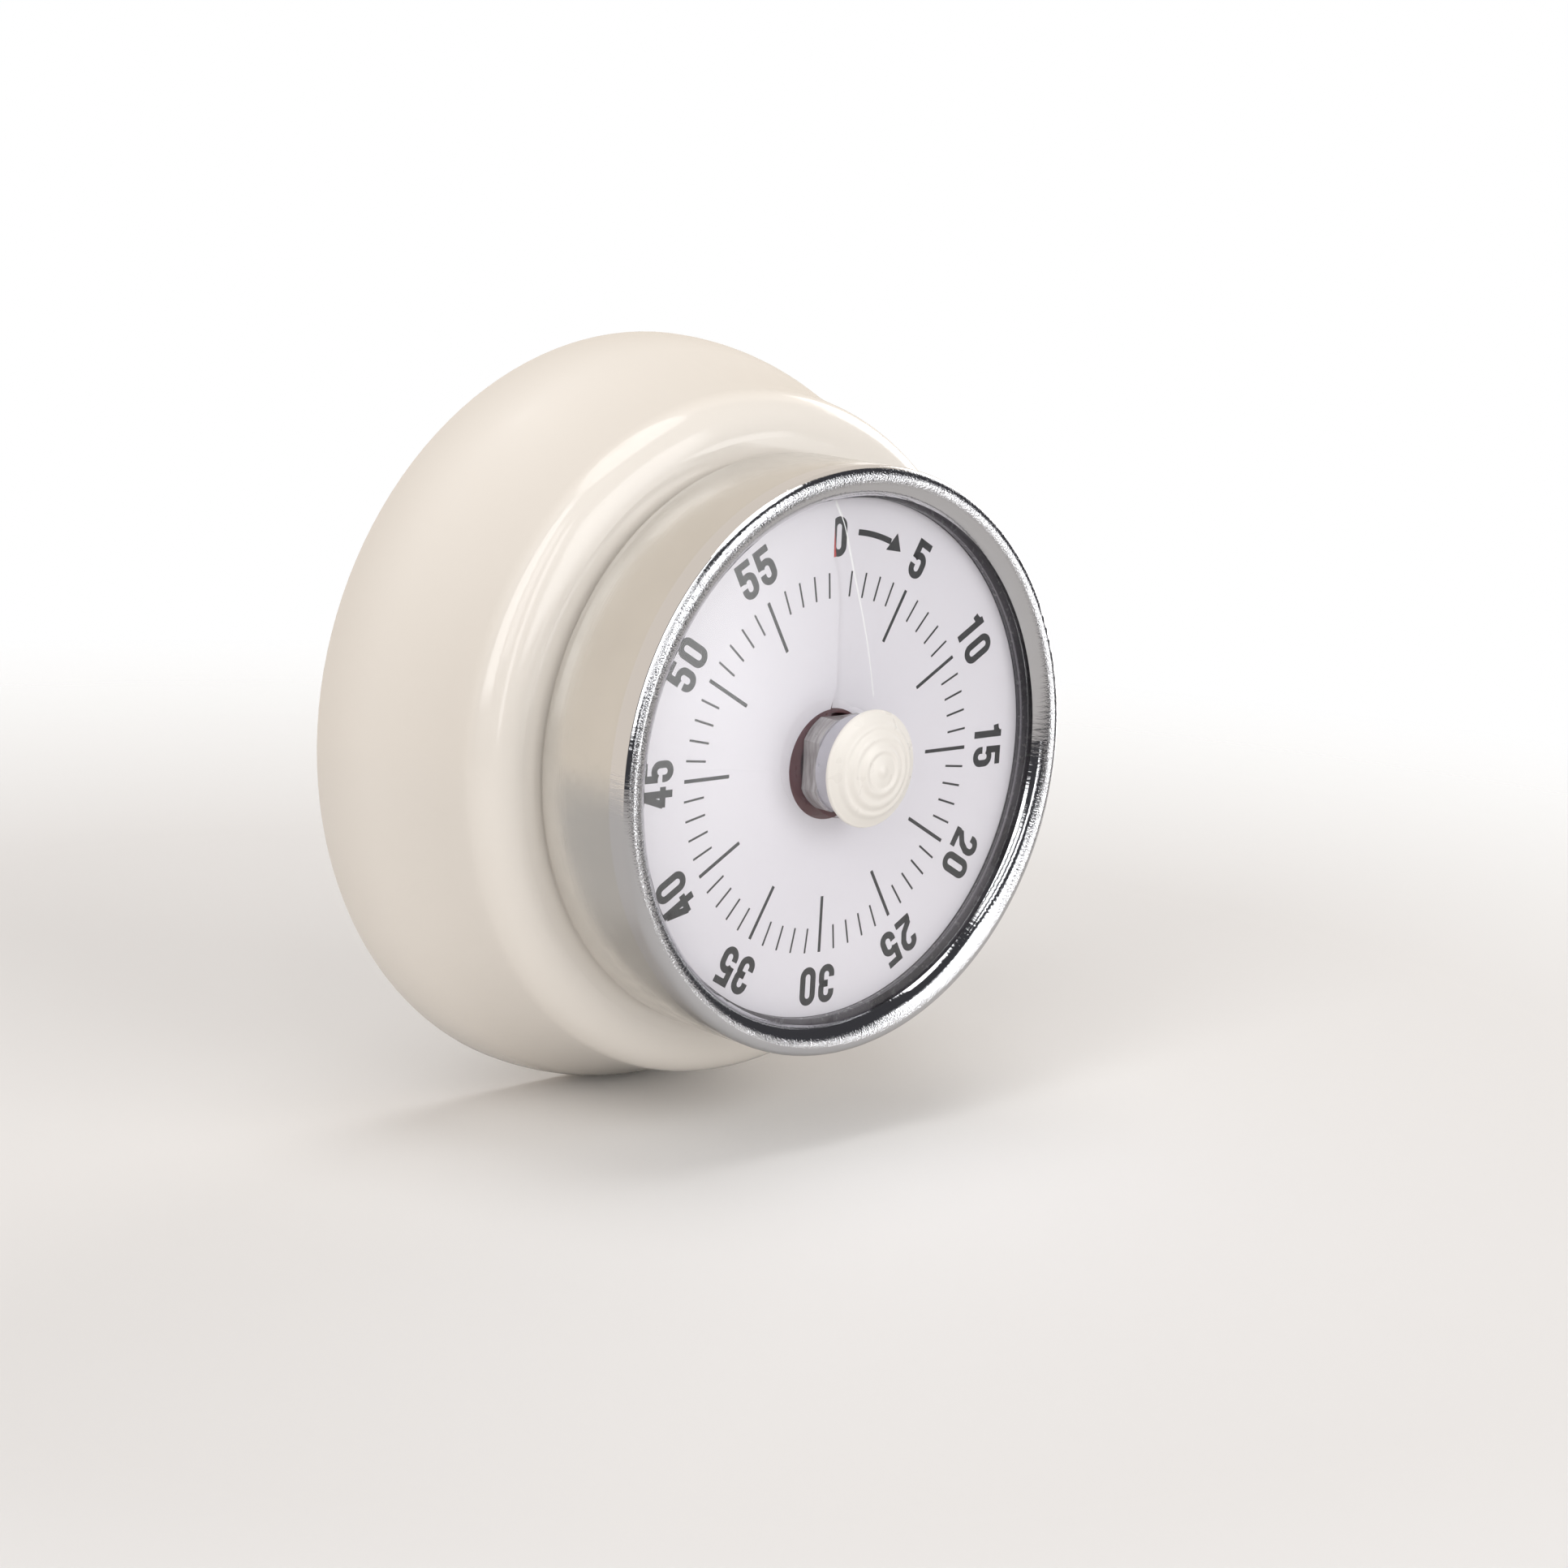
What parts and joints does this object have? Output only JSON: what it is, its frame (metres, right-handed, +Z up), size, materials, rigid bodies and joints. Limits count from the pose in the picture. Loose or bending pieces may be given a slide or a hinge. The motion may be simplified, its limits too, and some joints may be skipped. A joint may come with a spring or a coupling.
{
  "type": "kitchen timer",
  "caption": "Round wall-mounted mechanical kitchen timer: cream dome, steel drum, numbered dial, red time disc and a clear turn knob.",
  "frame": {"origin": "centre of the back plate's rear face, where the timer meets the wall", "axes": "-Y out of the wall through the dial towards the user, +Z up through the zero mark, +X to the user's right"},
  "size_m": [0.0938, 0.0463, 0.0938],
  "materials": {
    "cream_enamel": "glossy enamel",
    "polished_steel": "satin polished stainless",
    "zinc_steel": "zinc plated",
    "brass": "stamped brass",
    "clear_plastic": "clear moulded plastic",
    "printed_dial": "satin printed",
    "red_foil": "matt printed",
    "cream_plastic": "moulded gloss",
    "dark_rubber": "matt",
    "white_plastic": "moulded",
    "spring_steel": "blued",
    "gong_steel": "nickel plated"
  },
  "bodies": {
    "case": {"mounting_dome": "cream_enamel", "dome_lugs": "zinc_steel", "back_plate": "zinc_steel", "back_plate_screws": "zinc_steel", "clinch_nuts": "zinc_steel", "drum_case": "polished_steel", "mounting_ring": "zinc_steel", "chassis_ring": "zinc_steel", "case_screws": "zinc_steel", "dial_spacer": "white_plastic", "dial_plate": "white_plastic", "dial_shim": "dark_rubber", "lens_gasket": "dark_rubber", "lens": "clear_plastic", "dial": "printed_dial", "rear_plate": "zinc_steel", "front_plate": "zinc_steel", "pillars": "zinc_steel", "chassis_spacers": "brass", "front_plate_screws": "zinc_steel", "rear_plate_screws": "zinc_steel", "spring_barrel": "zinc_steel", "mainspring": "spring_steel", "gong_post": "zinc_steel", "gong": "gong_steel", "gong_nut": "brass", "hammer_spring": "spring_steel"},
    "setting_arbor": {"main_arbor": "zinc_steel", "knob_bush": "zinc_steel", "clear_knob": "clear_plastic", "knob_screw": "zinc_steel", "knob_cap": "cream_plastic", "disc_collar": "brass", "red_disc": "red_foil", "great_wheel": "brass", "clutch_spring": "spring_steel", "clutch_collar": "zinc_steel", "strike_cam": "brass", "spring_collet": "zinc_steel"},
    "second_arbor": {"second_pinion": "zinc_steel", "second_wheel": "brass"},
    "third_arbor": {"third_pinion": "zinc_steel", "third_wheel": "brass"},
    "fourth_arbor": {"fourth_pinion": "zinc_steel", "fourth_wheel": "brass"},
    "escape_arbor": {"escape_pinion": "zinc_steel", "escape_wheel": "brass"},
    "verge_staff": {"verge_arbor": "zinc_steel", "verge": "zinc_steel", "inertia_bar": "brass"},
    "hammer": {"hammer_arbor": "zinc_steel", "hammer_lever": "zinc_steel", "hammer_head": "zinc_steel", "hammer_follower": "zinc_steel"}
  },
  "joints": [
    {"name": "knob_turn", "type": "hinge", "parent": "case", "child": "setting_arbor", "pos_m": [0, 0, 0], "axis": [0, 1, 0], "range_deg": [0, 330]},
    {"name": "second_spin", "type": "hinge", "parent": "case", "child": "second_arbor", "pos_m": [-0.00328, 0, 0.01861], "axis": [0, 1, 0], "range_deg": [-1980, 0]},
    {"name": "third_spin", "type": "hinge", "parent": "case", "child": "third_arbor", "pos_m": [0.00929, 0, 0.01771], "axis": [0, 1, 0], "range_deg": [0, 9900]},
    {"name": "fourth_spin", "type": "hinge", "parent": "case", "child": "fourth_arbor", "pos_m": [0.017, 0, 0.01015], "axis": [0, 1, 0], "range_deg": [-49500, 0]},
    {"name": "escape_spin", "type": "hinge", "parent": "case", "child": "escape_arbor", "pos_m": [0.01954, 0, 0.00152], "axis": [0, 1, 0], "range_deg": [0, 198000]},
    {"name": "verge_swing", "type": "hinge", "parent": "case", "child": "verge_staff", "pos_m": [0.01831, 0, -0.00699], "axis": [0, 1, 0], "range_deg": [-3, 3]},
    {"name": "hammer_swing", "type": "hinge", "parent": "case", "child": "hammer", "pos_m": [-0.0195, 0, 0], "axis": [0, 1, 0], "range_deg": [-12, 0], "stiffness_Nm_per_rad": 0.005, "springref_deg": 5.73}
  ],
  "couplings": [
    {"joint": "second_spin", "follows": "knob_turn", "ratio": -6},
    {"joint": "third_spin", "follows": "knob_turn", "ratio": 30},
    {"joint": "fourth_spin", "follows": "knob_turn", "ratio": -150},
    {"joint": "escape_spin", "follows": "knob_turn", "ratio": 600}
  ]
}
